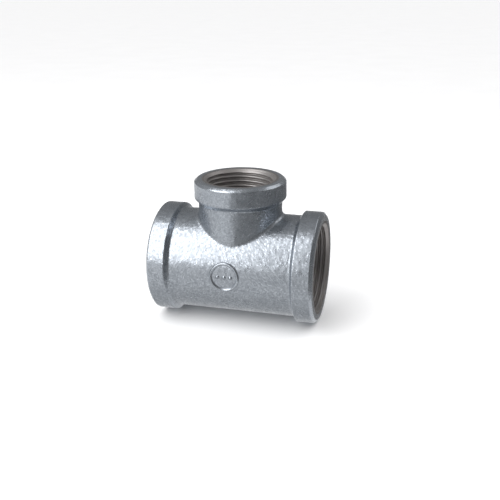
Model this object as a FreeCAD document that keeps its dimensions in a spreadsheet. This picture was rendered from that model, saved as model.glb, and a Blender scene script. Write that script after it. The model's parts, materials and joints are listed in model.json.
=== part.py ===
"""Banded malleable-iron reducing tee, female threads on all three ends.

The run lies along X, the branch stands along +Z and the origin is below the crossing of the two
axes, level with the lowest line of the run's bands. Millimetres throughout.

The casting is divided into the regions a moulder or machinist would name. They meet face to face
and together fill exactly the space of the one casting: a barrel, a neck, three end bands, three
machined threaded sockets and one raised mark.
"""
import FreeCAD, Part
import math
import os

import Sketcher

SIZES = {
    # The run: two ends in line, nominal size 1 1/4
    "run_reach": 40.0,
    "run_body_radius": 24.55,
    "run_band_radius": 26.9,
    "run_band_width": 9.5,
    "run_shoulder": 1.3,
    "run_edge": 0.9,
    "run_mouth_radius": 21.3,
    "run_root_radius": 20.955,
    "run_crest_radius": 19.73,
    "run_thread_length": 18.8,
    "run_liner_radius": 22.4,
    "run_cavity_radius": 21.6,
    # The branch: one end square to the run, nominal size 1
    "branch_reach": 42.0,
    "branch_body_radius": 20.15,
    "branch_band_radius": 22.1,
    "branch_band_width": 9.1,
    "branch_shoulder": 2.0,
    "branch_edge": 0.9,
    "branch_mouth_radius": 17.05,
    "branch_root_radius": 16.6245,
    "branch_crest_radius": 15.4,
    "branch_thread_length": 17.0,
    "branch_liner_radius": 18.1,
    "branch_cavity_radius": 17.3,
    # Pipe thread: eleven turns to the inch, 55 degrees between flanks
    "thread_pitch": 2.309,
    "flank_angle": 27.5,
    "tool_overrun": 0.3,
    # Cast fillets and the depth of the facing cut
    "saddle_fillet": 2.0,
    "saddle_lip": 0.65,
    "foot_length": 1.0,
    "foot_fillet": 1.0,
    "shoulder_round": 0.8,
    "facing_depth": 0.5,
    # Raised mark on the front of the barrel: a ring with pips in a row inside it
    "mark_height": 0.55,
    "mark_across": -1.6,
    "mark_above": 0.4,
    "mark_ring_radius": 7.2,
    "mark_ring_width": 1.3,
    "mark_pip_radius": 0.9,
    "mark_pip_spacing": 3.1,
}
SHEET = "Sizes"
PARTS_FOLDER = "parts"
BRANCH_UP = FreeCAD.Rotation()
RUN_RIGHT = FreeCAD.Rotation(FreeCAD.Vector(0, 1, 0), 90)
RUN_LEFT = FreeCAD.Rotation(FreeCAD.Vector(0, 1, 0), -90)
ENDS = (
    ("right", "run", RUN_RIGHT),
    ("left", "run", RUN_LEFT),
    ("branch", "branch", BRANCH_UP),
)
MATCH = 1e-4


class Size:
    """A number together with the spreadsheet expression that gives it."""

    def __init__(self, value, text):
        self.value = value
        self.text = text

    def combined(self, value, sign, other):
        return Size(value, "(%s %s %s)" % (self.text, sign, other.text))

    def __add__(self, other):
        return self.combined(self.value + other.value, "+", other)

    def __sub__(self, other):
        return self.combined(self.value - other.value, "-", other)

    def __mul__(self, factor):
        return Size(self.value * factor, "(%s * %s)" % (self.text, factor))

    def times(self, other):
        return self.combined(self.value * other.value, "*", other)


def size(alias):
    """The size that the sheet holds under this alias."""
    return Size(SIZES[alias], "%s.%s" % (SHEET, alias))


def bind(item, path, term):
    """Tie one property of a document object to the sheet."""
    item.setExpression(path, term.text)


def fill_sheet(doc):
    """Write the driving dimensions: a name in column A and the number, with its alias, in column B."""
    sheet = doc.addObject("Spreadsheet::Sheet", SHEET)
    for row, (alias, number) in enumerate(SIZES.items(), 1):
        sheet.set("A%d" % row, alias)
        sheet.set("B%d" % row, str(number))
        sheet.setAlias("B%d" % row, alias)
    doc.recompute()


# Sketches and features -------------------------------------------------------------------------

def new_sketch(body, name, role):
    """An empty sketch on one of the body's own origin planes."""
    plane = next(item for item in body.Origin.OriginFeatures if item.Role == role)
    sketch = body.newObject("Sketcher::SketchObject", name)
    sketch.AttachmentSupport = [(plane, "")]
    sketch.MapMode = "FlatFace"
    return sketch


def constrain(sketch, term, kind, *where):
    """Add one dimension to the sketch and tie it to the sheet."""
    number = sketch.addConstraint(Sketcher.Constraint(kind, *where, term.value))
    bind(sketch, "Constraints[%d]" % number, term)


def draw_profile(sketch, corners):
    """Closed outline of straight edges, each corner dimensioned from the sketch's origin."""
    points = [FreeCAD.Vector(across.value, up.value, 0) for across, up in corners]
    for start, end in zip(points, points[1:] + points[:1]):
        sketch.addGeometry(Part.LineSegment(start, end))
    for index, (across, up) in enumerate(corners):
        before = (index - 1) % len(corners)
        sketch.addConstraint(Sketcher.Constraint("Coincident", before, 2, index, 1))
        constrain(sketch, across, "DistanceX", -1, 1, index, 1)
        constrain(sketch, up, "DistanceY", -1, 1, index, 1)


def draw_circle(sketch, radius, across=None, up=None):
    """Circle on the sketch's origin, or at a dimensioned place beside it."""
    centre = FreeCAD.Vector(across.value, up.value, 0) if across else FreeCAD.Vector()
    circle = sketch.addGeometry(Part.Circle(centre, FreeCAD.Vector(0, 0, 1), radius.value))
    constrain(sketch, radius, "Radius", circle)
    if across:
        constrain(sketch, across, "DistanceX", -1, 1, circle, 3)
        constrain(sketch, up, "DistanceY", -1, 1, circle, 3)
    else:
        sketch.addConstraint(Sketcher.Constraint("Coincident", circle, 3, -1, 1))


def revolve(body, name, sketch):
    """Turn the sketch through a full circle about its upright axis."""
    turned = body.newObject("PartDesign::Revolution", name)
    turned.Profile = sketch
    turned.ReferenceAxis = (sketch, ["V_Axis"])
    turned.Angle = 360
    body.Document.recompute()
    return turned


def pad(body, name, sketch, length, symmetric=False):
    """Thicken the sketch along its normal, to one side or evenly to both."""
    thick = body.newObject("PartDesign::Pad", name)
    thick.Profile = sketch
    thick.SideType = "Symmetric" if symmetric else "One side"
    bind(thick, "Length", length)
    body.Document.recompute()
    return thick


def fillet(body, name, feature, edges, radius):
    """Round the named edges of a feature."""
    if not edges:
        raise RuntimeError("%s: no edge found to round" % name)
    rounded = body.newObject("PartDesign::Fillet", name)
    rounded.Base = (feature, edges)
    bind(rounded, "Radius", radius)
    body.Document.recompute()
    return rounded


def ring_edges(feature, radius, height):
    """Names of the circular edges of this radius at this height on the upright axis."""
    found = []
    for number, edge in enumerate(feature.Shape.Edges, 1):
        curve = edge.Curve
        if isinstance(curve, Part.Circle):
            right_size = abs(curve.Radius - radius.value) < MATCH
            if right_size and abs(curve.Center.z - height.value) < MATCH:
                found.append("Edge%d" % number)
    return found


def saddle_edges(feature):
    """Names of the edges that are neither straight nor circular: where neck and barrel cross."""
    plain = (Part.Circle, Part.Line)
    edges = enumerate(feature.Shape.Edges, 1)
    return ["Edge%d" % number for number, edge in edges if not isinstance(edge.Curve, plain)]


def cylinder(doc, name, radius, height, rotation=BRANCH_UP, start=None):
    """Part cylinder about an axis through the crossing, begun at a distance along that axis."""
    item = doc.addObject("Part::Cylinder", name)
    bind(item, "Radius", radius)
    bind(item, "Height", height)
    item.Placement.Rotation = rotation
    if start:
        outward = rotation.multVec(FreeCAD.Vector(0, 0, 1))
        for letter, along in zip("xyz", outward):
            if abs(along) > MATCH:
                bind(item, "Placement.Base.%s" % letter, start * round(along))
    return item


def boolean(doc, kind, name, base, tool):
    """Part cut or common of two document objects."""
    item = doc.addObject("Part::%s" % kind, name)
    item.Base = base
    item.Tool = tool
    item.Refine = False
    return item


def settle(part, label, rotation=BRANCH_UP):
    """Give a finished sub-part its label, its turn and its height above the base."""
    part.Label = label
    part.Placement = FreeCAD.Placement(FreeCAD.Vector(), rotation)
    bind(part, "Placement.Base.z", size("run_band_radius"))
    return part


# Sub-parts -------------------------------------------------------------------------------------

def band_foot(end):
    """Distance from the crossing at which an end band begins."""
    beyond = size(end + "_band_width") + size(end + "_shoulder") + size("foot_length")
    return size(end + "_reach") - beyond


def thread_floor(end):
    """Distance from the crossing at which an end's thread begins."""
    return size(end + "_reach") - size(end + "_thread_length")


def make_band(doc, label, end, rotation):
    """Reinforcing band: a plain collar with a sloped shoulder, filleted into the body."""
    body = doc.addObject("PartDesign::Body", label + "_body")
    reach = size(end + "_reach")
    liner = size(end + "_liner_radius")
    body_radius = size(end + "_body_radius")
    band_radius = size(end + "_band_radius")
    edge = size(end + "_edge")
    shoulder_top = reach - size(end + "_band_width")
    shoulder_foot = shoulder_top - size(end + "_shoulder")
    facing = reach - size("facing_depth")
    sketch = new_sketch(body, label + "_section", "XZ_Plane")
    draw_profile(sketch, [
        (liner, band_foot(end)),
        (body_radius, band_foot(end)),
        (body_radius, shoulder_foot),
        (band_radius, shoulder_top),
        (band_radius, reach - edge),
        (band_radius - edge, reach),
        (band_radius - edge, facing),
        (liner, facing),
    ])
    collar = revolve(body, label + "_collar", sketch)
    foot = ring_edges(collar, body_radius, shoulder_foot)
    soft_foot = fillet(body, label + "_foot", collar, foot, size("foot_fillet"))
    shoulder = ring_edges(soft_foot, band_radius, shoulder_top)
    fillet(body, label + "_round", soft_foot, shoulder, size("shoulder_round"))
    return settle(body, label, rotation)


def make_socket(doc, label, end, rotation):
    """Machined end: faced, countersunk at the mouth and tapped through to the cavity."""
    body = doc.addObject("PartDesign::Body", label + "_body")
    reach = size(end + "_reach")
    floor = thread_floor(end)
    crest = size(end + "_crest_radius")
    root = size(end + "_root_radius")
    liner = size(end + "_liner_radius")
    mouth = size(end + "_mouth_radius")
    face_radius = size(end + "_band_radius") - size(end + "_edge")
    facing = reach - size("facing_depth")
    sketch = new_sketch(body, label + "_section", "XZ_Plane")
    draw_profile(sketch, [
        (crest, floor),
        (liner, floor),
        (liner, facing),
        (face_radius, facing),
        (face_radius, reach),
        (mouth, reach),
        (crest, reach - (mouth - crest)),
    ])
    plain = revolve(body, label + "_turned", sketch)

    pitch = size("thread_pitch")
    flank = Size(math.tan(math.radians(SIZES["flank_angle"])), "tan(%s.flank_angle * 1deg)" % SHEET)
    tool_nose = crest - size("tool_overrun")
    start = floor - pitch
    half_root = pitch * (1 / 12)
    half_mouth = half_root + (root - tool_nose).times(flank)
    tool = new_sketch(body, label + "_tool", "XZ_Plane")
    draw_profile(tool, [
        (root, start - half_root),
        (root, start + half_root),
        (tool_nose, start + half_mouth),
        (tool_nose, start - half_mouth),
    ])
    thread = body.newObject("PartDesign::SubtractiveHelix", label + "_thread")
    thread.Profile = tool
    thread.ReferenceAxis = (tool, ["V_Axis"])
    thread.Mode = "pitch-height-angle"
    bind(thread, "Pitch", pitch)
    bind(thread, "Height", size(end + "_thread_length") + pitch * 2)
    doc.recompute()

    depth = root.value - crest.value
    groove_area = depth * (2 * half_root.value + depth * flank.value)
    groove_path = 2 * math.pi * (root.value + crest.value) / 2 * SIZES[end + "_thread_length"] / pitch.value
    removed = plain.Shape.Volume - thread.Shape.Volume
    if not 0.75 < removed / (groove_area * groove_path) < 1.1:
        raise RuntimeError("%s: the thread removed %.1f mm3" % (label, removed))
    return settle(body, label, rotation)


def make_blank(doc):
    """Barrel and neck as one filled shape, with the cast fillet where they cross."""
    body = doc.addObject("PartDesign::Body", "tee_blank")
    around_run = new_sketch(body, "barrel_section", "YZ_Plane")
    draw_circle(around_run, size("run_body_radius"))
    pad(body, "barrel_length", around_run, band_foot("run") * 2, symmetric=True)
    around_branch = new_sketch(body, "neck_section", "XY_Plane")
    draw_circle(around_branch, size("branch_body_radius"))
    crossed = pad(body, "neck_length", around_branch, band_foot("branch"))
    fillet(body, "saddle", crossed, saddle_edges(crossed), size("saddle_fillet"))
    return body


def make_hollow(doc):
    """The cored cavity, with the wider seats that hold the threaded regions."""
    across_run = band_foot("run") * 2
    run_core = cylinder(doc, "run_core", size("run_cavity_radius"), across_run, RUN_RIGHT,
                        band_foot("run") * -1)
    branch_core = cylinder(doc, "branch_core", size("branch_cavity_radius"), band_foot("branch"))
    seats = []
    for side, end, rotation in ENDS:
        depth = band_foot(end) - thread_floor(end)
        seats.append(cylinder(doc, side + "_seat", size(end + "_liner_radius"), depth, rotation,
                              thread_floor(end)))
    hollow = doc.addObject("Part::MultiFuse", "hollow")
    hollow.Shapes = [run_core, branch_core] + seats
    return hollow


def make_body_regions(doc):
    """The barrel with the root of the saddle, and the neck that stands on it."""
    shell = boolean(doc, "Cut", "shell", make_blank(doc), make_hollow(doc))
    lip_radius = size("run_body_radius") + size("saddle_lip")
    inner = cylinder(doc, "barrel_zone", lip_radius, band_foot("run") * 2, RUN_RIGHT,
                     band_foot("run") * -1)
    barrel = boolean(doc, "Common", "barrel_region", shell, inner)
    neck = boolean(doc, "Cut", "neck_region", shell, inner)
    return [settle(barrel, "run_barrel"), settle(neck, "branch_neck")]


def make_mark(doc):
    """Raised ring with a row of pips, standing off the front of the barrel."""
    outline = doc.addObject("PartDesign::Body", "mark_outline")
    sketch = new_sketch(outline, "mark_section", "XZ_Plane")
    across = size("mark_across")
    above = size("mark_above")
    outer = size("mark_ring_radius")
    draw_circle(sketch, outer, across, above)
    draw_circle(sketch, outer - size("mark_ring_width"), across, above)
    for step in (-1, 0, 1):
        draw_circle(sketch, size("mark_pip_radius"), across + size("mark_pip_spacing") * step, above)
    raised = size("run_body_radius") + size("mark_height")
    pad(outline, "mark_length", sketch, raised)
    top = cylinder(doc, "mark_top", raised, size("run_reach"), RUN_RIGHT, size("run_reach") * -0.5)
    under = cylinder(doc, "mark_under", size("run_body_radius"), size("run_reach"), RUN_RIGHT,
                     size("run_reach") * -0.5)
    skin = boolean(doc, "Cut", "mark_skin", top, under)
    return settle(boolean(doc, "Common", "mark_region", outline, skin), "cast_mark")


def check(doc, parts):
    """Stop if any object failed to compute, or a sub-part is not sound or overfills its box."""
    for item in doc.Objects:
        if "Invalid" in item.State or "Error" in item.State:
            raise RuntimeError("%s did not compute: %s" % (item.Name, item.State))
    for part in parts:
        if part.Shape.isNull() or not part.Shape.isValid():
            raise RuntimeError("%s is not a sound solid" % part.Label)
        box = part.Shape.optimalBoundingBox()
        if not 0 < part.Shape.Volume < box.XLength * box.YLength * box.ZLength:
            raise RuntimeError("%s has a volume that its box can't hold" % part.Label)


def main():
    doc = FreeCAD.newDocument("reducing_tee")
    fill_sheet(doc)
    parts = make_body_regions(doc)
    for side, end, rotation in ENDS:
        parts.append(make_band(doc, side + "_band", end, rotation))
        parts.append(make_socket(doc, side + "_socket", end, rotation))
    parts.append(make_mark(doc))
    doc.recompute()
    check(doc, parts)
    os.makedirs(PARTS_FOLDER, exist_ok=True)
    for part in parts:
        part.Shape.exportStep(os.path.join(PARTS_FOLDER, part.Label + ".step"))
        box = part.Shape.optimalBoundingBox()
        print("%-14s %d solid(s) %9.1f mm3  x %.2f..%.2f  y %.2f..%.2f  z %.2f..%.2f" % (
            part.Label, len(part.Shape.Solids), part.Shape.Volume,
            box.XMin, box.XMax, box.YMin, box.YMax, box.ZMin, box.ZMax))


main()
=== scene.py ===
"""Looks of a banded, galvanised reducing tee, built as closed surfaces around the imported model.

The casting's regions (barrel, neck, three bands, raised mark) carry one continuous cast and zinc
coated skin. The three sockets are bare machined iron: faced, countersunk and tapped. Shapes are
worked out in millimetres from the crossing of the two axes and put into meshes in metres.
"""
import itertools
import json
import logging
import math
from dataclasses import dataclass
from enum import Enum
from typing import ClassVar

import bmesh
import bpy
import numpy as np
from mathutils import Matrix, Vector


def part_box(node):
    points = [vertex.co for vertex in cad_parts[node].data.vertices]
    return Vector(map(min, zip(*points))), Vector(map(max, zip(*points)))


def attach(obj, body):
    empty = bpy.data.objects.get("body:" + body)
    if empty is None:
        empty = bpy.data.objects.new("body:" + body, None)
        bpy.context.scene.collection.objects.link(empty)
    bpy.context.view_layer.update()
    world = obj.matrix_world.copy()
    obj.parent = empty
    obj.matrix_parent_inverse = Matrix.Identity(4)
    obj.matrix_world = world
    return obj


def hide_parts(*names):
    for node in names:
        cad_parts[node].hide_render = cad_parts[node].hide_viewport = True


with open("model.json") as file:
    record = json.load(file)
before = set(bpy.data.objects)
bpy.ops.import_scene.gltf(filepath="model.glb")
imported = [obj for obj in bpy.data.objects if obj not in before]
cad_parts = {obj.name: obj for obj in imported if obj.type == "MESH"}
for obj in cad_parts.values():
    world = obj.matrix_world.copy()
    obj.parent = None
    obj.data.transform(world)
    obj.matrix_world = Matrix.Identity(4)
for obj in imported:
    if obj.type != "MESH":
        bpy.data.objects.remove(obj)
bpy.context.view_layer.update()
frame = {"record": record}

Array = np.ndarray
LOG = logging.getLogger("reducing_tee")
MM = 0.001
TURN = 2 * math.pi
BODY = "root"
PIT_SHADE_LAYER = "pit"
WELD_M = 1e-6
LEAST_ARC_STEPS = 3
NOISE_SLOPES = 256
NOISE_SPREAD = 1.7


# Choices ----

class Slot(Enum):
    """The record's material slots."""

    CASTING = "galvanised_casting"
    MACHINED = "machined_iron"


class Field(Enum):
    """The cast skin's random fields, each with its seed."""

    SWELL = 5
    LUMPS = 7
    PEBBLES = 11
    CREASES = 12


class End(Enum):
    """The three ends, each with its outward direction and two directions square to it."""

    RIGHT = ((1, 0, 0), (0, 1, 0), (0, 0, 1))
    LEFT = ((-1, 0, 0), (0, -1, 0), (0, 0, 1))
    BRANCH = ((0, 0, 1), (1, 0, 0), (0, 1, 0))

    @property
    def label(self) -> str:
        """The end's name as the nodes' names begin."""
        return self.name.lower()

    @property
    def along_index(self) -> int:
        """Which of X, Y and Z the end's axis follows."""
        return int(np.argmax(np.abs(self.value[0])))

    def place(self, radius: Array, angle: Array, along: Array) -> Array:
        """Points round the end's axis.

        Args:
            radius: distance from the axis.
            angle: turn about the axis, from the first square direction to the second.
            along: distance from the crossing, outwards.

        Returns:
            Array whose last axis is X, Y, Z.
        """
        outward, first, second = (np.array(way, float) for way in self.value)
        radius, angle, along = np.broadcast_arrays(radius, angle, along)
        sideways, upwards = radius * np.cos(angle), radius * np.sin(angle)
        return sideways[..., None] * first + upwards[..., None] * second + along[..., None] * outward


# Sizes ----

@dataclass(frozen=True)
class EndSizes:
    """One end's sizes in millimetres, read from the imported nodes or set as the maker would."""

    end: End
    reach: float
    body_radius: float
    band_radius: float
    band_foot: float
    thread_floor: float
    crest_radius: float
    root_radius: float
    mouth_radius: float
    cavity_radius: float
    band_width: float
    shoulder: float
    bare_width: float = 1.2

    @property
    def zinc_edge(self) -> float:
        """Radius on the end face at which the zinc gives way to bare iron."""
        return self.mouth_radius + self.bare_width

    @classmethod
    def read(cls, end: End, body_node: str, axis_height: float, **set_sizes: float) -> "EndSizes":
        """Reads an end from its nodes.

        Args:
            end: which end.
            body_node: the node whose outer radius the band stands on.
            axis_height: height of the run's axis above the base, in millimetres.
            **set_sizes: the sizes that no node's box gives.

        Returns:
            The end's sizes.
        """
        index = end.along_index
        shift = axis_height if index == 2 else 0.0
        band, socket = ([abs(corner[index] / MM - shift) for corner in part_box(end.label + region)]
                        for region in ("_band", "_socket"))
        mount = next(m for m in frame["record"]["mounts"] if m["name"] == end.label + "_socket")
        return cls(
            end=end,
            reach=max(band),
            body_radius=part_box(body_node)[1].y / MM,
            band_radius=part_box(end.label + "_band")[1].y / MM,
            band_foot=min(band),
            thread_floor=min(socket),
            crest_radius=mount["dims"]["r_mm"],
            **set_sizes,
        )


@dataclass(frozen=True)
class TeeSizes:
    """Sizes of the whole fitting in millimetres."""

    axis_height: float
    ends: dict[End, EndSizes]
    saddle_fillet: float = 2.0
    seam_rise: float = 0.5
    thread_pitch: float = 2.309

    @classmethod
    def from_frame(cls) -> "TeeSizes":
        """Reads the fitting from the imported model."""
        axis_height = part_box("right_band")[1].y / MM
        run = dict(root_radius=20.955, mouth_radius=21.3, cavity_radius=21.6,
                   band_width=9.5, shoulder=1.3)
        branch = dict(root_radius=16.6245, mouth_radius=17.05, cavity_radius=17.3,
                      band_width=9.1, shoulder=2.0)
        sources = {End.RIGHT: ("run_barrel", run), End.LEFT: ("run_barrel", run),
                   End.BRANCH: ("branch_neck", branch)}
        return cls(axis_height, {end: EndSizes.read(end, node, axis_height, **set_sizes)
                                 for end, (node, set_sizes) in sources.items()})

    @property
    def run(self) -> EndSizes:
        """Sizes of either end of the run."""
        return self.ends[End.RIGHT]

    @property
    def branch(self) -> EndSizes:
        """Sizes of the branch."""
        return self.ends[End.BRANCH]


# The cast skin ----

def lattice_noise(points: Array, field: Field) -> Array:
    """Smooth random field, about -1 to 1.

    Every whole-number corner of space has a random slope, picked from a table by a shuffled key.
    The value at a point is the sum, over the eight corners round it, of the slope times the way
    from the corner, each weighted by the fifth-power ease curve along the three axes.

    Args:
        points: places, last axis X, Y, Z, in units of one cell.
        field: which random field.

    Returns:
        One value for each point.
    """
    rng = np.random.default_rng(field.value)
    shuffle = rng.permutation(NOISE_SLOPES)
    slopes = rng.normal(size=(NOISE_SLOPES, 3))
    slopes /= np.linalg.norm(slopes, axis=1, keepdims=True)
    cell = np.floor(points).astype(np.int64)
    inside = points - cell
    ease = inside ** 3 * (inside * (inside * 6 - 15) + 10)
    total = np.zeros(points.shape[:-1])
    for corner in itertools.product((0, 1), repeat=3):
        pick = 0
        for key in np.moveaxis(cell + corner, -1, 0):
            pick = shuffle[(pick + key) % NOISE_SLOPES]
        lean = (slopes[pick] * (inside - corner)).sum(-1)
        weight = np.where(np.array(corner, bool), ease, 1 - ease).prod(-1)
        total += lean * weight
    return total * NOISE_SPREAD


@dataclass(frozen=True)
class CastSkin:
    """Relief of the sand-cast, zinc-coated surface. Depths and cells are in millimetres.

    The relief only ever lowers the nominal surface, so the piece stays inside its size.
    """

    swell_cell: float = 9.0
    swell_depth: float = 0.08
    lump_cell: float = 1.9
    lump_depth: float = 0.105
    pebble_cell: float = 0.85
    pebble_depth: float = 0.075
    pebble_share: float = 0.75
    pebble_lift: float = 0.2
    crease_shift: float = 31.7
    seam_height: float = 0.08
    seam_width: float = 0.45

    def pebbles(self, points: Array) -> Array:
        """Round-topped pebbles from 0 in the creases to 1: the size of a noise field, partly
        mixed with a second field so that the creases break up."""
        first = np.abs(lattice_noise(points / self.pebble_cell, Field.PEBBLES))
        second = lattice_noise(points / self.pebble_cell + self.crease_shift, Field.CREASES)
        mixed = self.pebble_share * first + (1 - self.pebble_share) * second
        return np.clip(mixed + self.pebble_lift, 0, 1)

    def lowering(self, points: Array) -> Array:
        """Depth of the surface below nominal.

        Args:
            points: places in millimetres from the crossing.

        Returns:
            Depths from 0 up to the sum of all layers.
        """
        swell = 0.5 - 0.5 * lattice_noise(points / self.swell_cell, Field.SWELL)
        lumps = 0.5 - 0.5 * lattice_noise(points / self.lump_cell, Field.LUMPS)
        pits = 1 - self.pebbles(points)
        seam = np.exp(-(points[..., 1] / self.seam_width) ** 2)
        depth = self.swell_depth * swell + self.lump_depth * lumps + self.pebble_depth * pits
        return np.clip(depth + self.seam_height * (1 - seam), 0, None)


# Meshes ----

@dataclass
class Patch:
    """A grid of points: rows along the profile, columns round the piece.

    skin says how much of the cast relief each point takes, and facing which way it is lowered.
    grime says how much painted shade darkens each point and how much duller it is made there, as round
    the foot of the raised mark.
    """

    points: Array
    facing: Array
    skin: Array
    grime: Array | float = 0.0
    rows_close: bool = False
    columns_close: bool = False

    def quads(self, start: int) -> Array:
        """Four-cornered faces between neighbouring rows and columns.

        Args:
            start: number of the patch's first point in the whole mesh.

        Returns:
            Faces as rows of four point numbers.
        """
        rows, columns = self.points.shape[:2]
        row, column = np.meshgrid(
            np.arange(rows if self.rows_close else rows - 1),
            np.arange(columns if self.columns_close else columns - 1), indexing="ij")
        after, beside = (row + 1) % rows, (column + 1) % columns
        corners = [row * columns + column, row * columns + beside,
                   after * columns + beside, after * columns + column]
        return start + np.stack(corners, -1).reshape(-1, 4)

    def relief(self, skin: CastSkin) -> tuple[Array, Array]:
        """The points with the cast skin applied, and the painted shade that each one takes: how deep
        in the skin's pits it lies, or the painted shade round the mark's foot where that is more.
        """
        depth = skin.lowering(self.points) * self.skin
        pit = (1 - skin.pebbles(self.points)) * self.skin
        return self.points - self.facing * depth[..., None], np.maximum(pit, self.grime)


@dataclass(frozen=True)
class PieceMaker:
    """Turns patches into finished pieces."""

    sizes: TeeSizes
    skin: CastSkin
    sharp_angle: float = 50.0

    def make(self, name: str, patches: list[Patch], slot: Slot, *nodes: str) -> bpy.types.Object:
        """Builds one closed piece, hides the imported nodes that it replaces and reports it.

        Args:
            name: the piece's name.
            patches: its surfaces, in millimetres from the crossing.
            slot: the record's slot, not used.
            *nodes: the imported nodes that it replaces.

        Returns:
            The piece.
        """
        points, pits, faces, start = [], [], [], 0
        for patch in patches:
            placed, pit = patch.relief(self.skin)
            points.append(placed.reshape(-1, 3))
            pits.append(pit.reshape(-1))
            faces.append(patch.quads(start))
            start += len(points[-1])
        place = (np.concatenate(points) + (0, 0, self.sizes.axis_height)) * MM
        mesh = bpy.data.meshes.new(name)
        mesh.from_pydata(place.tolist(), [], np.concatenate(faces).tolist())
        pit_shade_layer = mesh.attributes.new(PIT_SHADE_LAYER, "FLOAT", "POINT")
        pit_shade_layer.data.foreach_set("value", np.concatenate(pits).astype(np.float32))
        self.close(mesh)
        piece = put(name, mesh)
        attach(piece, BODY)
        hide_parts(*nodes)
        LOG.info("%s: %d faces for %s", name, len(mesh.polygons), ", ".join(nodes))
        return piece

    def close(self, mesh: bpy.types.Mesh) -> None:
        """Welds the patches' shared edges, turns every face outwards and shades it smooth."""
        work = bmesh.new()
        work.from_mesh(mesh)
        bmesh.ops.remove_doubles(work, verts=work.verts, dist=WELD_M)
        bmesh.ops.recalc_face_normals(work, faces=work.faces)
        open_edges = sum(not edge.is_manifold for edge in work.edges)
        if open_edges:
            raise RuntimeError(f"{mesh.name} has {open_edges} open edges")
        work.to_mesh(mesh)
        work.free()
        mesh.shade_smooth()
        mesh.set_sharp_from_angle(angle=math.radians(self.sharp_angle))


def put(name: str, data: bpy.types.ID) -> bpy.types.Object:
    """Puts data into the scene as an object of this name."""
    made = bpy.data.objects.new(name, data)
    bpy.context.scene.collection.objects.link(made)
    return made


def once_round(steps: int) -> Array:
    """Angles evenly spaced once round."""
    return np.linspace(0, TURN, steps, endpoint=False)


def blend_rows(start: Array, stop: Array, steps: int) -> Array:
    """Rows of points on straight lines from one row to another, ends included."""
    share = np.linspace(0, 1, steps + 1)[:, None, None]
    return start * (1 - share) + stop * share


def unit(vectors: Array) -> Array:
    """Vectors of length one along the last axis."""
    return vectors / np.linalg.norm(vectors, axis=-1, keepdims=True)


# The saddle ----

@dataclass(frozen=True)
class Saddle:
    """The cast fillet between barrel and neck, as a ball rolled round the corner.

    The ball's centre stays one ball radius outside both cylinders. It touches each cylinder on
    the line from its centre square to that cylinder's axis, and the fillet is the arc between.
    """

    sizes: TeeSizes

    def ball(self, angle: Array) -> Array:
        """Centre of the ball at an angle round the branch."""
        fillet = self.sizes.saddle_fillet
        out = self.sizes.branch.body_radius + fillet
        high = self.sizes.run.body_radius + fillet
        across = out * np.sin(angle)
        return np.stack([out * np.cos(angle), across, np.sqrt(high ** 2 - across ** 2)], -1)

    def top(self, angle: Array) -> Array:
        """Height above the run's axis at which the neck's wall begins."""
        return self.ball(angle)[..., 2]

    def seam(self, angle: Array) -> Array:
        """Height at which the neck's own piece begins, a little up its straight wall."""
        return self.top(angle) + self.sizes.seam_rise

    def on_neck(self, angle: Array) -> Array:
        """Where the fillet leaves the neck's wall."""
        return End.BRANCH.place(self.sizes.branch.body_radius, angle, self.top(angle))

    def on_barrel(self, angle: Array) -> Array:
        """Where the fillet meets the barrel."""
        run = self.sizes.run.body_radius
        share = run / (run + self.sizes.saddle_fillet)
        return self.ball(angle) * (1, share, share)

    def arc(self, angle: Array, steps: int) -> tuple[Array, Array]:
        """Rows of the fillet from the neck to the barrel, and the way that each point faces.

        Each point is the ball's centre plus a radius whose direction turns evenly from one
        touching point to the other.
        """
        ball = self.ball(angle)
        first = unit(self.on_neck(angle) - ball)
        last = unit(self.on_barrel(angle) - ball)
        opening = np.arccos(np.clip((first * last).sum(-1), -1, 1))[..., None]
        share = np.linspace(0, 1, steps + 1)[:, None, None]
        turned = np.sin((1 - share) * opening) * first + np.sin(share * opening) * last
        spoke = turned / np.sin(opening)
        return ball + self.sizes.saddle_fillet * spoke, -spoke


# Sub-assemblies ----

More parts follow.
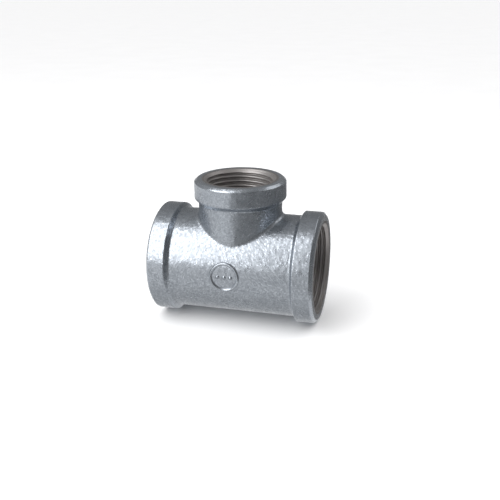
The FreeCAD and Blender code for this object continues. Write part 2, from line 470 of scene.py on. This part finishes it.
@dataclass(frozen=True)
class Barrel:
    """The straight barrel with its cavity, the opening to the branch and the saddle's fillet."""

    maker: PieceMaker
    saddle: Saddle
    spacing: float = 0.5
    cap_half_angle: float = math.radians(96)
    arc_steps: int = 8
    wall_steps: int = 2
    inner_steps: int = 16

    @property
    def run(self) -> EndSizes:
        """Sizes of the run."""
        return self.maker.sizes.run

    def along(self) -> Array:
        """Places along the run from the foot of one band to the other's."""
        half = self.run.band_foot
        return np.linspace(-half, half, round(2 * half / self.spacing) + 1)

    def window(self) -> tuple[Array, Array]:
        """Edge of the upper patch on the unrolled barrel, once round from its right side.

        Returns:
            Places along the run in millimetres, and angles from the top, as two flat arrays.
        """
        along, turn = self.along(), self.topside()
        sides = [(along[-1], turn[:-1]), (along[:0:-1], turn[-1]),
                 (along[0], turn[:0:-1]), (along[:-1], turn[0])]
        parts = zip(*(np.broadcast_arrays(*side) for side in sides))
        return tuple(np.concatenate(part) for part in parts)

    def topside(self) -> Array:
        """Angles from the window's near side, over the top, to its far side."""
        cap = self.cap_half_angle
        return np.linspace(-cap, cap, 2 * round(self.run.body_radius * cap / self.spacing) + 1)

    def underside(self) -> Array:
        """Angles from the window's far side, round underneath, to its near side."""
        span = TURN - 2 * self.cap_half_angle
        around = round(span * self.run.body_radius / self.spacing)
        return self.cap_half_angle + np.linspace(0, span, around + 1)

    @staticmethod
    def on_cylinder(radius: float, along: Array, turn: Array) -> Array:
        """Points on a cylinder about the run, by place along it and angle from the top."""
        along, turn = np.broadcast_arrays(along, turn)
        return np.stack([along, radius * np.sin(turn), radius * np.cos(turn)], -1)

    def spread(self, edge: Array, radius: float, steps: int) -> Array:
        """Rows on a cylinder from a curve on it out to the window.

        The curve and the window are unrolled, joined by straight lines and rolled up again.
        """
        window_along, window_turn = self.window()
        share = np.linspace(0, 1, steps + 1)[:, None]
        along = edge[:, 0] * (1 - share) + window_along * share
        turn = np.arctan2(edge[:, 1], edge[:, 2]) * (1 - share) + window_turn * share
        return self.on_cylinder(radius, along, turn)

    def upper(self) -> Patch:
        """From the window on the cavity's wall, up the opening's wall and down the outside."""
        run, branch = self.run, self.maker.sizes.branch
        window_along, window_turn = self.window()
        angle = np.arctan2(window_turn * run.body_radius, window_along)
        bore, seam = branch.cavity_radius, self.saddle.seam(angle)
        sill = np.sqrt(run.cavity_radius ** 2 - (bore * np.sin(angle)) ** 2)
        bore_edge = End.BRANCH.place(bore, angle, sill)
        shelf_inner = End.BRANCH.place(bore, angle, seam)
        shelf_outer = End.BRANCH.place(branch.body_radius, angle, seam)
        arc, arc_facing = self.saddle.arc(angle, self.arc_steps)
        cavity = self.spread(bore_edge, run.cavity_radius, self.inner_steps)[::-1]
        opening = blend_rows(bore_edge, shelf_inner, self.inner_steps)
        shelf = blend_rows(shelf_inner, shelf_outer, 1)
        wall = blend_rows(shelf_outer, arc[0], self.wall_steps)
        # The fillet's foot lies about one radian down from the top, so this is the widest stretch.
        steps = round(run.body_radius * (self.cap_half_angle - 1) / self.spacing)
        outside = self.spread(arc[-1], run.body_radius, steps)
        # Each stretch starts on the last row of the one before.
        points = np.concatenate([cavity] + [rows[1:] for rows in (opening, shelf, wall, arc, outside)])
        from_branch = unit(points * (1, 1, 0))
        # The rows at which the shelf's outer edge and the fillet begin.
        edge = len(cavity) + len(opening) + len(shelf) - 3
        foot = edge + len(wall) - 1
        facing = unit(points * (0, 1, 1))
        facing[:len(cavity)] *= -1
        facing[len(cavity):edge] = -from_branch[len(cavity):edge]
        facing[edge:foot] = from_branch[edge:foot]
        facing[foot:foot + len(arc)] = arc_facing
        skin = np.ones(points.shape[:-1])
        skin[:edge] = 0
        skin[1:len(cavity) - 1] = 1
        return Patch(points, facing, skin, columns_close=True)

    def lower(self, radius: float, way: float, skinned: bool) -> Patch:
        """The rest of a cylinder: its underside, from the window's far side to its near side.

        Args:
            radius: the cylinder's radius.
            way: 1 if the surface faces outwards, -1 if it faces the cavity.
            skinned: whether the edges along the window take the cast relief too.

        Returns:
            The patch, with the run's two ends as its first and last columns.
        """
        points = self.on_cylinder(radius, self.along(), self.underside()[:, None])
        skin = np.ones(points.shape[:-1])
        if not skinned:
            skin[[0, -1]] = 0
            skin[:, [0, -1]] = 0
        return Patch(points, unit(points * (0, 1, 1)) * way, skin)

    def end_ring(self, side: int) -> Patch:
        """Flat ring between cavity and outside at one end of the barrel."""
        turn = np.concatenate([self.topside(), self.underside()[1:-1]])
        points = np.stack([self.on_cylinder(radius, side * self.run.band_foot, turn)
                           for radius in (self.run.cavity_radius, self.run.body_radius)])
        skin = np.stack([np.zeros(len(turn)), np.ones(len(turn))])
        return Patch(points, unit(points * (0, 1, 1)), skin, columns_close=True)

    def build(self) -> bpy.types.Object:
        """Makes the barrel."""
        patches = [self.upper(), self.lower(self.run.body_radius, 1, True),
                   self.lower(self.run.cavity_radius, -1, False), self.end_ring(1), self.end_ring(-1)]
        return self.maker.make("barrel", patches, Slot.CASTING, "run_barrel")


@dataclass(frozen=True)
class Neck:
    """The neck from the saddle's seam up to the foot of the branch band."""

    maker: PieceMaker
    saddle: Saddle
    columns: int = 288
    wall_steps: int = 30

    def build(self) -> bpy.types.Object:
        """Makes the neck: outer wall, top ring, bore and the shelf that it stands on."""
        branch = self.maker.sizes.branch
        angle = once_round(self.columns)
        wall, bore = (
            blend_rows(End.BRANCH.place(radius, angle, self.saddle.seam(angle)),
                       End.BRANCH.place(radius, angle, branch.band_foot), self.wall_steps)
            for radius in (branch.body_radius, branch.cavity_radius))
        points = np.concatenate([wall, bore[::-1]])
        skin = np.zeros(points.shape[:-1])
        skin[:len(wall)] = 1
        facing = unit(points * (1, 1, 0))
        patch = Patch(points, facing, skin, rows_close=True, columns_close=True)
        return self.maker.make("neck", [patch], Slot.CASTING, "branch_neck")


def rounded_path(corners: list[tuple[float, float, float]], spacing: float) -> Array:
    """Open path through corners with an arc at each inner one, as evenly spaced points.

    Args:
        corners: radius, distance along and corner rounding, in order.
        spacing: most distance between points, and twice the most on an arc.

    Returns:
        Rows of radius and distance along.
    """
    places = np.array([corner[:2] for corner in corners], float)
    path = [places[0]]
    for before, here, after, corner in zip(places, places[1:], places[2:], corners[1:-1]):
        back, ahead = unit(before - here), unit(after - here)
        half = math.acos(np.clip(back @ ahead, -1, 1)) / 2
        trim = corner[2] / math.tan(half)
        centre = here + unit(back + ahead) * corner[2] / math.sin(half)
        first, last = here + back * trim - centre, here + ahead * trim - centre
        sweep = math.pi - 2 * half
        steps = max(LEAST_ARC_STEPS, math.ceil(sweep * corner[2] / spacing * 2))
        share = np.linspace(0, 1, steps + 1)[:, None]
        turned = np.sin((1 - share) * sweep) * first + np.sin(share * sweep) * last
        path.extend(centre + turned / math.sin(sweep))
    path.append(places[-1])
    dense = [path[0][None]]
    for start, stop in zip(path, path[1:]):
        steps = max(1, math.ceil(np.linalg.norm(stop - start) / spacing))
        dense.append(start + (stop - start) * np.linspace(0, 1, steps + 1)[1:, None])
    return np.concatenate(dense)


@dataclass(frozen=True)
class EndPiece:
    """A piece turned about one end's axis. Band and socket meet in a seat just under the face."""

    maker: PieceMaker
    end: End
    face_skin: float = 0.45
    seat_slope: float = 0.6
    seat_depth: float = 0.5
    region: ClassVar[str]
    kind: ClassVar[str]
    slot: ClassVar[Slot]

    @property
    def size(self) -> EndSizes:
        """Sizes of this end."""
        return self.maker.sizes.ends[self.end]

    def seat(self) -> list[tuple[float, float]]:
        """Radius and place along of the seat's corners, from its outer one inwards."""
        floor = self.size.reach - self.seat_depth
        return [(self.size.zinc_edge - self.seat_slope, floor), (self.size.cavity_radius, floor)]

    def turned(self, points: Array, facing: Array, skin: Array) -> bpy.types.Object:
        """Makes the piece from a closed section carried once round, with its Patch's values."""
        node = f"{self.end.label}_{self.region}"
        patch = Patch(points, facing, skin, rows_close=True, columns_close=True)
        return self.maker.make(f"{node}_{self.kind}", [patch], self.slot, node)


@dataclass(frozen=True)
class Band(EndPiece):
    """Reinforcing band: foot, sloped shoulder, plain collar, rounded outer edge and end face."""

    region, kind, slot = "band", "skin", Slot.CASTING
    spacing: float = 0.45
    foot_round: float = 1.0
    shoulder_round: float = 0.8
    edge_drop: float = 1.3
    edge_width: float = 1.7
    edge_round: float = 1.0

    def build(self) -> bpy.types.Object:
        """Makes the band by carrying its outline once round the end's axis."""
        size = self.size
        top = size.reach - size.band_width
        path = rounded_path([
            (size.body_radius, size.band_foot, 0),
            (size.body_radius, top - size.shoulder, self.foot_round),
            (size.band_radius, top, self.shoulder_round),
            (size.band_radius, size.reach - self.edge_drop, self.edge_round),
            (size.band_radius - self.edge_width, size.reach, self.edge_round),
            (size.zinc_edge, size.reach, 0),
        ], self.spacing)
        slope = unit(np.gradient(path, axis=0))
        normal = np.stack([slope[:, 1], -slope[:, 0]], -1)
        normal[[0, -1]] = (1, 0), (0, 1)
        hidden = np.array(self.seat() + [(size.cavity_radius, size.band_foot)])
        outline = np.concatenate([path, hidden])
        lean = np.concatenate([normal, np.tile((1.0, 0.0), (len(hidden), 1))])
        angle = once_round(round(TURN * size.band_radius / self.spacing))
        points = self.end.place(outline[:, :1], angle, outline[:, 1:])
        facing = self.end.place(lean[:, :1], angle, lean[:, 1:])
        skin = np.zeros(points.shape[:-1])
        skin[:len(path)] = 1 - (1 - self.face_skin) * np.clip(normal[:, 1:], 0, 1)
        return self.turned(points, facing, skin)


@dataclass(frozen=True)
class ThreadedSocket(EndPiece):
    """Machined end: flat rim, countersunk mouth and a right-handed pipe thread."""

    region, kind, slot = "socket", "cut", Slot.MACHINED
    columns: int = 336
    face_rows: int = 9
    row_height: float = 0.15
    face_cut: float = 0.1
    fade: float = 2.6
    fullness: float = 0.96
    sharpness: float = 7.0

    def thread_radius(self, along: Array, angle: Array) -> Array:
        """Radius of the thread's surface.

        The sharp thread form is a triangle wave along the axis, one wave to each pitch, started
        one pitch later for each full turn. Its height is nearly the pitch, and it is softly
        limited to the crest and the root, which leaves rounded corners. Near the floor the
        groove rises out to the crest, as a tap's lead leaves it.
        """
        size = self.size
        pitch = self.maker.sizes.thread_pitch
        middle = (size.root_radius + size.crest_radius) / 2
        limit = (size.root_radius - size.crest_radius) / 2
        phase = (along - size.thread_floor) / pitch - angle / TURN
        wave = 2 * np.abs(2 * (phase - np.floor(phase)) - 1) - 1
        full = wave * self.fullness * pitch / 2
        formed = full / (1 + np.abs(full / limit) ** self.sharpness) ** (1 / self.sharpness)
        lead = np.clip((along - size.thread_floor) / self.fade, 0, 1)
        return middle - limit + (formed + limit) * lead

    def build(self) -> bpy.types.Object:
        """Makes the socket: rows over the face, down the threaded wall and back behind it."""
        size = self.size
        angle = once_round(self.columns)
        face = np.linspace(size.zinc_edge, size.mouth_radius, self.face_rows)[:, None]
        face_along = np.full_like(face, size.reach - self.face_cut)
        face_along[0] = size.reach
        depth = size.reach - size.thread_floor
        along = size.reach - np.linspace(0, depth, math.ceil(depth / self.row_height) + 1)[1:, None]
        cone = size.mouth_radius - (size.reach - along)
        wall = np.maximum(self.thread_radius(along, angle), cone)
        back = np.array([(size.cavity_radius, size.thread_floor)] + self.seat()[::-1])
        points = np.concatenate([
            self.end.place(face, angle, face_along),
            self.end.place(wall, angle, along),
            self.end.place(back[:, :1], angle, back[:, 1:]),
        ])
        skin = np.zeros(points.shape[:-1])
        skin[0] = self.face_skin
        facing = np.broadcast_to(self.end.place(0.0, angle, 1.0), points.shape)
        return self.turned(points, facing, skin)


@dataclass(frozen=True)
class CastMark:
    """Raised mark on the front of the barrel: a ring with a row of three pips."""

    maker: PieceMaker
    height: float = 0.55
    ring_width: float = 1.4
    foot_width: float = 2.4
    pip_foot: float = 1.5
    pip_spacing: float = 3.1
    root: float = 0.4
    skin_share: float = 0.4
    grime_depth: float = 0.05
    grime_fade: float = 0.3
    around: int = 160
    across: int = 20

    def bell(self, share: Array) -> Array:
        """Height of a bead across its foot, from the middle, 0, to either edge, 1 or -1.

        The square of a cosine, from the full height down to the hidden root.
        """
        return (self.height + self.root) * np.cos(share * math.pi / 2) ** 2 - self.root

    def patch(self, middle: tuple[float, float], radii: Array, heights: Array, closed: bool) -> Patch:
        """A section of radius and height, closed or ending on the middle, carried once round it.

        It is round seen square on, and its heights stand along the barrel's own radius.
        """
        angle = once_round(self.around)
        along = middle[0] + radii[:, None] * np.cos(angle)
        above = middle[1] + radii[:, None] * np.sin(angle)
        radius = self.maker.sizes.run.body_radius
        scale = (radius + heights[:, None]) / radius
        points = np.stack([along, -np.sqrt(radius ** 2 - above ** 2) * scale, above * scale], -1)
        skin = np.full(points.shape[:-1], self.skin_share)
        # Painted shade round each bead's foot: darkest where it meets the barrel, fading out a quarter
        # of a millimetre up.
        foot_shade = np.clip(1 - (heights[:, None] + self.grime_depth) / self.grime_fade, 0, 1)
        grime = np.broadcast_to(foot_shade, skin.shape)
        facing = unit(points * (0, 1, 1))
        return Patch(points, facing, skin, grime, rows_close=closed, columns_close=True)

    def build(self) -> bpy.types.Object:
        """Makes the ring and the pips, all of them rounded beads that rise from a hidden root."""
        low, high = (Vector(corner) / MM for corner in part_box("cast_mark"))
        middle = ((low.x + high.x) / 2, (low.z + high.z) / 2 - self.maker.sizes.axis_height)
        centre_line = (high.x - low.x - self.ring_width) / 2
        share = np.linspace(-1, 1, self.across + 1)
        radii = centre_line + share * self.foot_width / 2
        patches = [self.patch(middle, radii, self.bell(share), closed=True)]
        share = np.linspace(1, 0, self.across)
        pip_radii = np.concatenate([[0], share * self.pip_foot])
        pip_heights = np.concatenate([[-self.root], self.bell(share)])
        for step in (-1, 0, 1):
            place = (middle[0] + step * self.pip_spacing, middle[1])
            patches.append(self.patch(place, pip_radii, pip_heights, closed=False))
        return self.maker.make("raised_mark", patches, Slot.CASTING, "cast_mark")


# Finishes ----

class Wire:
    """A node's output that adds Math nodes when it is used in sums."""

    def __init__(self, shader: "Shader", output: bpy.types.NodeSocket) -> None:
        """Keeps the output and the shader that it belongs to."""
        self.shader = shader
        self.output = output

    def math(self, operation: str, *others: "Wire | float") -> "Wire":
        """One Math node on this value and the others."""
        return self.shader.math(operation, self, *others)

    def __add__(self, other: "Wire | float") -> "Wire":
        """Sum."""
        return self.math("ADD", other)

    __radd__ = __add__

    def __sub__(self, other: "Wire | float") -> "Wire":
        """Difference."""
        return self.math("SUBTRACT", other)

    def __rsub__(self, other: float) -> "Wire":
        """Difference from a number."""
        return self.shader.math("SUBTRACT", other, self)

    def __mul__(self, other: "Wire | float") -> "Wire":
        """Product."""
        return self.math("MULTIPLY", other)


class Shader:
    """The node tree of a material or world being put together."""

    def __init__(self, owner: bpy.types.Material | bpy.types.World) -> None:
        """Empties the owner's node tree."""
        owner.use_nodes = True
        self.owner = owner
        self.tree = owner.node_tree
        self.tree.nodes.clear()

    def node(self, kind: str, inputs: dict | None = None, output: int | str = 0,
             **settings: str) -> Wire:
        """Adds any node.

        Args:
            kind: the node's type.
            inputs: values or wires by socket name or number.
            output: which output to return.
            **settings: properties, set first.

        Returns:
            The chosen output.
        """
        made = self.tree.nodes.new(kind)
        for name, value in settings.items():
            setattr(made, name, value)
        for name, value in (inputs or {}).items():
            if isinstance(value, Wire):
                self.tree.links.new(value.output, made.inputs[name])
            else:
                made.inputs[name].default_value = value
        return Wire(self, made.outputs[output] if len(made.outputs) else None)

    def math(self, operation: str, *values: Wire | float) -> Wire:
        """One Math node."""
        return self.node("ShaderNodeMath", dict(enumerate(values)), operation=operation)

    def mix(self, share: Wire | float, first: Wire | tuple, second: Wire | tuple) -> Wire:
        """Two colours mixed by a share from 0 to 1."""
        first, second = (colour if isinstance(colour, Wire) else (*colour, 1.0)
                         for colour in (first, second))
        return self.node("ShaderNodeMix", {0: share, 6: first, 7: second}, 2, data_type="RGBA")

    def place(self) -> Wire:
        """Object coordinates, which in a world are the direction looked in."""
        return self.node("ShaderNodeTexCoord", output="Object")

    def along(self, place: Wire, way: tuple | Vector) -> Wire:
        """How far a place lies along one direction."""
        return self.node("ShaderNodeVectorMath", {0: place, 1: tuple(way)}, "Value",
                         operation="DOT_PRODUCT")

    def noise(self, place: Wire, size_mm: float, detail: float = 2.0, rough: float = 0.5) -> Wire:
        """Noise from 0 to 1 whose lumps are about this size."""
        return self.node("ShaderNodeTexNoise", {
            "Vector": place, "Scale": 1 / (size_mm * MM), "Detail": detail, "Roughness": rough})

    def spots(self, place: Wire, size_mm: float, detail: float, rough: float = 0.6,
              low: float = 0.3) -> Wire:
        """Noise spread out to fill the range from 0 to 1."""
        return self.stretch(self.noise(place, size_mm, detail, rough), low, 1 - low)

    def stretch(self, value: Wire, low: float, high: float, to_low: float = 0.0,
                to_high: float = 1.0) -> Wire:
        """A value moved from one range to another and held there."""
        return self.node("ShaderNodeMapRange", {
            "Value": value, "From Min": low, "From Max": high, "To Min": to_low, "To Max": to_high})

    def bump(self, height: Wire, depth_mm: float, strength: float) -> Wire:
        """Normal from a height of 0 to 1 that stands for this depth."""
        return self.node("ShaderNodeBump", {
            "Height": height, "Distance": depth_mm * MM, "Strength": strength})

    def finish(self, inputs: dict) -> bpy.types.Material:
        """Ends the material in one metal or matte surface with these inputs."""
        surface = self.node("ShaderNodeBsdfPrincipled", inputs)
        self.node("ShaderNodeOutputMaterial", {"Surface": surface})
        return self.owner


@dataclass(frozen=True)
class Galvanised:
    """Hot-dip zinc on cast iron: blue-grey and mottled, duller down in the pits, with painted shade
    darkening the pits and the foot of the raised mark.
    """

    light: tuple[float, float, float] = (0.52, 0.555, 0.60)
    dark: tuple[float, float, float] = (0.42, 0.455, 0.50)
    pit: tuple[float, float, float] = (0.23, 0.25, 0.28)
    metallic: float = 0.95
    roughness: float = 0.19
    patch_size: float = 5.0
    patch_share: float = 0.35
    patch_rough: float = 0.08
    grain_size: float = 0.7
    hollow_range: tuple[float, float] = (0.35, 0.95)
    pit_share: float = 0.8
    pit_rough: float = 0.22
    fine_size: float = 0.6
    fine_depth: float = 0.06
    fine_strength: float = 0.8

    def material(self) -> bpy.types.Material:
        """Builds the finish."""
        shader = Shader(bpy.data.materials.new("galvanised_skin"))
        place = shader.place()
        pit = shader.node("ShaderNodeAttribute", output="Fac", attribute_name=PIT_SHADE_LAYER)
        patches = shader.spots(place, self.patch_size, 3.0, 0.5, low=0.35)
        grain = shader.spots(place, self.grain_size, 3.0)
        mottle = patches * self.patch_share + grain * (1 - self.patch_share)
        zinc = shader.mix(mottle, self.dark, self.light)
        # Painted shade: the colour darkens towards the pit shade colour down in the pits and round the
        # mark's foot, while the roughness added there is the zinc's own dullness.
        hollow = shader.stretch(pit, *self.hollow_range)
        fine = shader.noise(place, self.fine_size, 2.0, 0.6)
        return shader.finish({
            "Base Color": shader.mix(hollow * self.pit_share, zinc, self.pit),
            "Metallic": self.metallic,
            "Roughness": self.roughness + patches * self.patch_rough + hollow * self.pit_rough,
            "Normal": shader.bump(fine, self.fine_depth, self.fine_strength)})


@dataclass(frozen=True)
class MachinedIron:
    """Iron cut after galvanising: brownish grey, with fine turning marks round the axis, darker
    blotches of its own, and painted shade deeper in the bore and down in the thread's grooves.
    """

    end: EndSizes
    axis_height: float
    light: tuple[float, float, float] = (0.42, 0.405, 0.40)
    dark: tuple[float, float, float] = (0.38, 0.36, 0.35)
    rim: tuple[float, float, float] = (0.20, 0.185, 0.18)
    metallic: float = 0.9
    roughness: float = 0.34
    mark_spacing: float = 0.32
    mark_lead: float = 0.7
    mark_wander: float = 0.15
    wander_size: float = 3.0
    blotch_size: float = 2.2
    grain_size: float = 0.5
    relief_depth: float = 0.03
    relief_strength: float = 0.6
    ring_height: float = 0.25
    grain_height: float = 0.5
    inside_dirt: float = 0.6
    groove_dirt: float = 0.7
    blotch_dirt: float = 0.25
    blotch_rough: float = 0.12
    dirt_rough: float = 0.1
    wall_blend: float = 0.1
    rim_share: float = 0.6
    rim_blend: float = 0.3

    def material(self) -> bpy.types.Material:
        """Builds one end's finish, its marks ringed round that end's axis."""
        shader = Shader(bpy.data.materials.new(self.end.end.label + "_machined"))
        place = shader.place()
        outward, first, second = (Vector(way) for way in self.end.end.value)
        crossing = (0, 0, self.axis_height * MM)
        centred = shader.node("ShaderNodeVectorMath", {0: place, 1: crossing}, operation="SUBTRACT")
        across, up, depth = (shader.along(centred, way / MM) for way in (first, second, outward))
        radius = (across * across + up * up).math("SQRT")
        wander = shader.noise(place, self.wander_size) * self.mark_wander
        cut = radius + depth * self.mark_lead + wander
        rings = (cut * (TURN / self.mark_spacing)).math("SINE")
        blotch = shader.spots(place, self.blotch_size, 4.0)
        # Painted shade: the bore darkens deeper in, and the thread's grooves darken towards their
        # roots; the blotches are the iron's own uneven tone.
        inside = shader.stretch(depth, self.end.thread_floor, self.end.reach, 1.0, 0.0)
        root, mouth = self.end.root_radius, self.end.mouth_radius
        groove = shader.stretch(radius, self.end.crest_radius, root)
        on_wall = shader.stretch(radius, root, mouth + self.wall_blend, 1.0, 0.0)
        bore_shade_and_blotches = inside * self.inside_dirt + groove * on_wall * self.groove_dirt
        bore_shade_and_blotches = shader.stretch(bore_shade_and_blotches + blotch * self.blotch_dirt, 0.0, 1.0)
        face = shader.stretch(radius, mouth, mouth + self.rim_blend, 0.0, self.rim_share)
        iron = shader.mix(bore_shade_and_blotches, self.light, self.dark)
        grain = shader.noise(place, self.grain_size, 3.0)
        height = rings * self.ring_height + grain * self.grain_height
        return shader.finish({
            "Base Color": shader.mix(face, iron, self.rim), "Metallic": self.metallic,
            "Roughness": self.roughness + blotch * self.blotch_rough + bore_shade_and_blotches * self.dirt_rough,
            "Normal": shader.bump(height, self.relief_depth, self.relief_strength)})


@dataclass(frozen=True)
class PaleFloor:
    """Matt studio table."""

    colour: tuple[float, float, float] = (0.86, 0.86, 0.865)
    roughness: float = 0.85
    cloud_size: float = 60.0
    cloud_shade: float = 0.98

    def material(self) -> bpy.types.Material:
        """Builds the finish."""
        shader = Shader(bpy.data.materials.new("pale_table"))
        cloud = shader.noise(shader.place(), self.cloud_size)
        shade = shader.stretch(cloud, 0.3, 0.7, self.cloud_shade, 1.0)
        colour = shader.node("ShaderNodeVectorMath", {0: self.colour, "Scale": shade},
                             operation="SCALE")
        return shader.finish({"Base Color": colour, "Roughness": self.roughness})


# Studio ----

def outlook(azimuth: float, elevation: float) -> tuple[Vector, Vector]:
    """Directions for a camera or light that looks at the fitting.

    Args:
        azimuth: degrees from the front, -Y, positive towards +X.
        elevation: degrees above level.

    Returns:
        The way from the fitting to it, and the level way to its right.
    """
    azimuth, elevation = math.radians(azimuth), math.radians(elevation)
    level = math.cos(elevation)
    way = Vector((math.sin(azimuth) * level, -math.cos(azimuth) * level, math.sin(elevation)))
    return way, Vector((math.cos(azimuth), math.sin(azimuth), 0))


@dataclass(frozen=True)
class SoftLight:
    """A rectangular soft light that looks at the fitting. Angles in degrees, sizes in metres."""

    name: str
    azimuth: float
    elevation: float
    distance: float
    width: float
    height: float
    radiance: float
    aside: float = 0.0

    def build(self, target: Vector) -> None:
        """Hangs the light so that it faces its target, then slides it aside."""
        way, right = outlook(self.azimuth, self.elevation)
        lamp = bpy.data.lights.new(self.name, "AREA")
        lamp.shape = "RECTANGLE"
        lamp.size = self.width
        lamp.size_y = self.height
        lamp.energy = self.radiance * math.pi * self.width * self.height
        holder = put(self.name, lamp)
        holder.location = target + way * self.distance + right * self.aside
        holder.rotation_euler = way.to_track_quat("Z", "Y").to_euler()


@dataclass(frozen=True)
class Surround:
    """Soft room light by direction: a grey room, darker on the right and behind, over a pale table.

    The table is lit near the fitting and on the left, and the rest of it is dim. Each range says
    between which shares of a direction one strength turns into the next. The camera sees a plain
    pale backdrop instead.
    """

    room: float = 0.33
    room_right: float = 0.15
    room_back: float = 0.21
    table_lit: float = 0.86
    table_under: float = 0.55
    table_dim: float = 0.20
    backdrop: float = 0.93
    edge_azimuth: float = -4.5
    left_range: tuple[float, float] = (-0.02, 0.06)
    near_range: tuple[float, float] = (0.45, 0.62)
    under_range: tuple[float, float] = (0.6, 1.0)
    right_range: tuple[float, float] = (0.05, 0.6)
    back_range: tuple[float, float] = (0.35, 0.8)
    horizon_range: tuple[float, float] = (-0.05, 0.05)

    def build(self) -> None:
        """Makes the world."""
        shader = Shader(bpy.data.worlds.new("studio"))
        way = shader.place()
        down = shader.along(way, (0, 0, -1))
        leftward = shader.along(way, -outlook(self.edge_azimuth, 0)[1])
        left = shader.stretch(leftward, *self.left_range)
        near = shader.stretch(down, *self.near_range)
        lit = shader.stretch(down, *self.under_range, self.table_lit, self.table_under)
        table = left.math("MAXIMUM", near) * (lit - self.table_dim) + self.table_dim
        backward, rightward = shader.along(way, (0, 1, 0)), shader.along(way, (1, 0, 0))
        back = shader.stretch(backward, *self.back_range, self.room, self.room_back)
        right = shader.stretch(rightward, *self.right_range, self.room, self.room_right)
        room = right.math("MINIMUM", back)
        below = shader.stretch(down, *self.horizon_range)
        seen = shader.node("ShaderNodeLightPath", output="Is Camera Ray")
        light = below * (table - room) + room
        strength = seen * (self.backdrop - light) + light
        glow = shader.node("ShaderNodeBackground", {
            "Color": (1.0, 1.0, 1.0, 1.0), "Strength": strength})
        shader.node("ShaderNodeOutputWorld", {"Surface": glow})
        bpy.context.scene.world = shader.owner


@dataclass(frozen=True)
class Studio:
    """Camera, lights, table and surround. Camera sizes in millimetres, angles in degrees."""

    sizes: TeeSizes
    azimuth: float = 15.5
    elevation: float = 20.4
    roll: float = -0.6
    distance: float = 370.6
    aside: float = -4.17
    above: float = -5.07
    lens: float = 54.31
    nearest: float = 10.0
    surround: Surround = Surround()
    key: SoftLight = SoftLight("key", -10, 43, 0.45, 0.42, 0.70, 2.95, aside=-0.232)
    back: SoftLight = SoftLight("back", 125, 45, 0.50, 0.36, 0.22, 0.9)
    fill: float = 2.8
    fill_spread: float = 120.0

    @property
    def crossing(self) -> Vector:
        """Where the two axes cross, in metres."""
        return Vector((0, 0, self.sizes.axis_height * MM))

    def camera(self) -> None:
        """Places the camera by its angles, distance and offsets from the crossing."""
        back, level = outlook(self.azimuth, self.elevation)
        upright = back.cross(level)
        roll = math.radians(self.roll)
        right = level * math.cos(roll) + upright * math.sin(roll)
        up = upright * math.cos(roll) - level * math.sin(roll)
        lens = bpy.data.cameras.new("camera")
        lens.lens = self.lens
        lens.clip_start = self.nearest * MM
        place = self.crossing + (back * self.distance - right * self.aside - up * self.above) * MM
        turn = Matrix((right, up, back)).transposed().to_4x4()
        holder = put("camera", lens)
        holder.matrix_world = Matrix.Translation(place) @ turn
        bpy.context.scene.camera = holder

    def table(self, half: float = 8.0) -> None:
        """Lays the floor, hidden from the metal's reflections. The metal mirrors the surround in its
        place.
        """
        corners = [(-half, -half, 0), (half, -half, 0), (half, half, 0), (-half, half, 0)]
        mesh = bpy.data.meshes.new("table")
        mesh.from_pydata(corners, [], [(0, 1, 2, 3)])
        mesh.materials.append(PaleFloor().material())
        floor = put("table", mesh)
        floor.visible_glossy = False

    def even_fill(self) -> None:
        """Lights the table evenly from above without showing in the metal."""
        lamp = bpy.data.lights.new("fill", "SUN")
        lamp.energy = self.fill
        lamp.angle = math.radians(self.fill_spread)
        put("fill", lamp).visible_glossy = False

    def build(self) -> None:
        """Sets up the whole studio."""
        self.camera()
        self.table()
        self.surround.build()
        self.key.build(self.crossing)
        self.back.build(self.crossing)
        self.even_fill()
        bpy.context.scene.view_settings.view_transform = "Standard"


# Putting it together ----


def main() -> None:
    """Builds the fitting's pieces in order, dresses them and sets up the studio."""
    logging.basicConfig(level=logging.INFO, format="%(name)s: %(message)s")
    sizes = TeeSizes.from_frame()
    maker = PieceMaker(sizes, CastSkin())
    saddle = Saddle(sizes)
    studio = Studio(sizes)
    studio.build()
    zinc = Galvanised().material()
    castings = [Barrel(maker, saddle).build(), Neck(maker, saddle).build(), CastMark(maker).build()]
    castings += [Band(maker, end).build() for end in End]
    for piece in castings:
        piece.data.materials.append(zinc)
    for end in End:
        socket = ThreadedSocket(maker, end).build()
        socket.data.materials.append(MachinedIron(sizes.ends[end], sizes.axis_height).material())


if __name__ == "__main__":
    main()
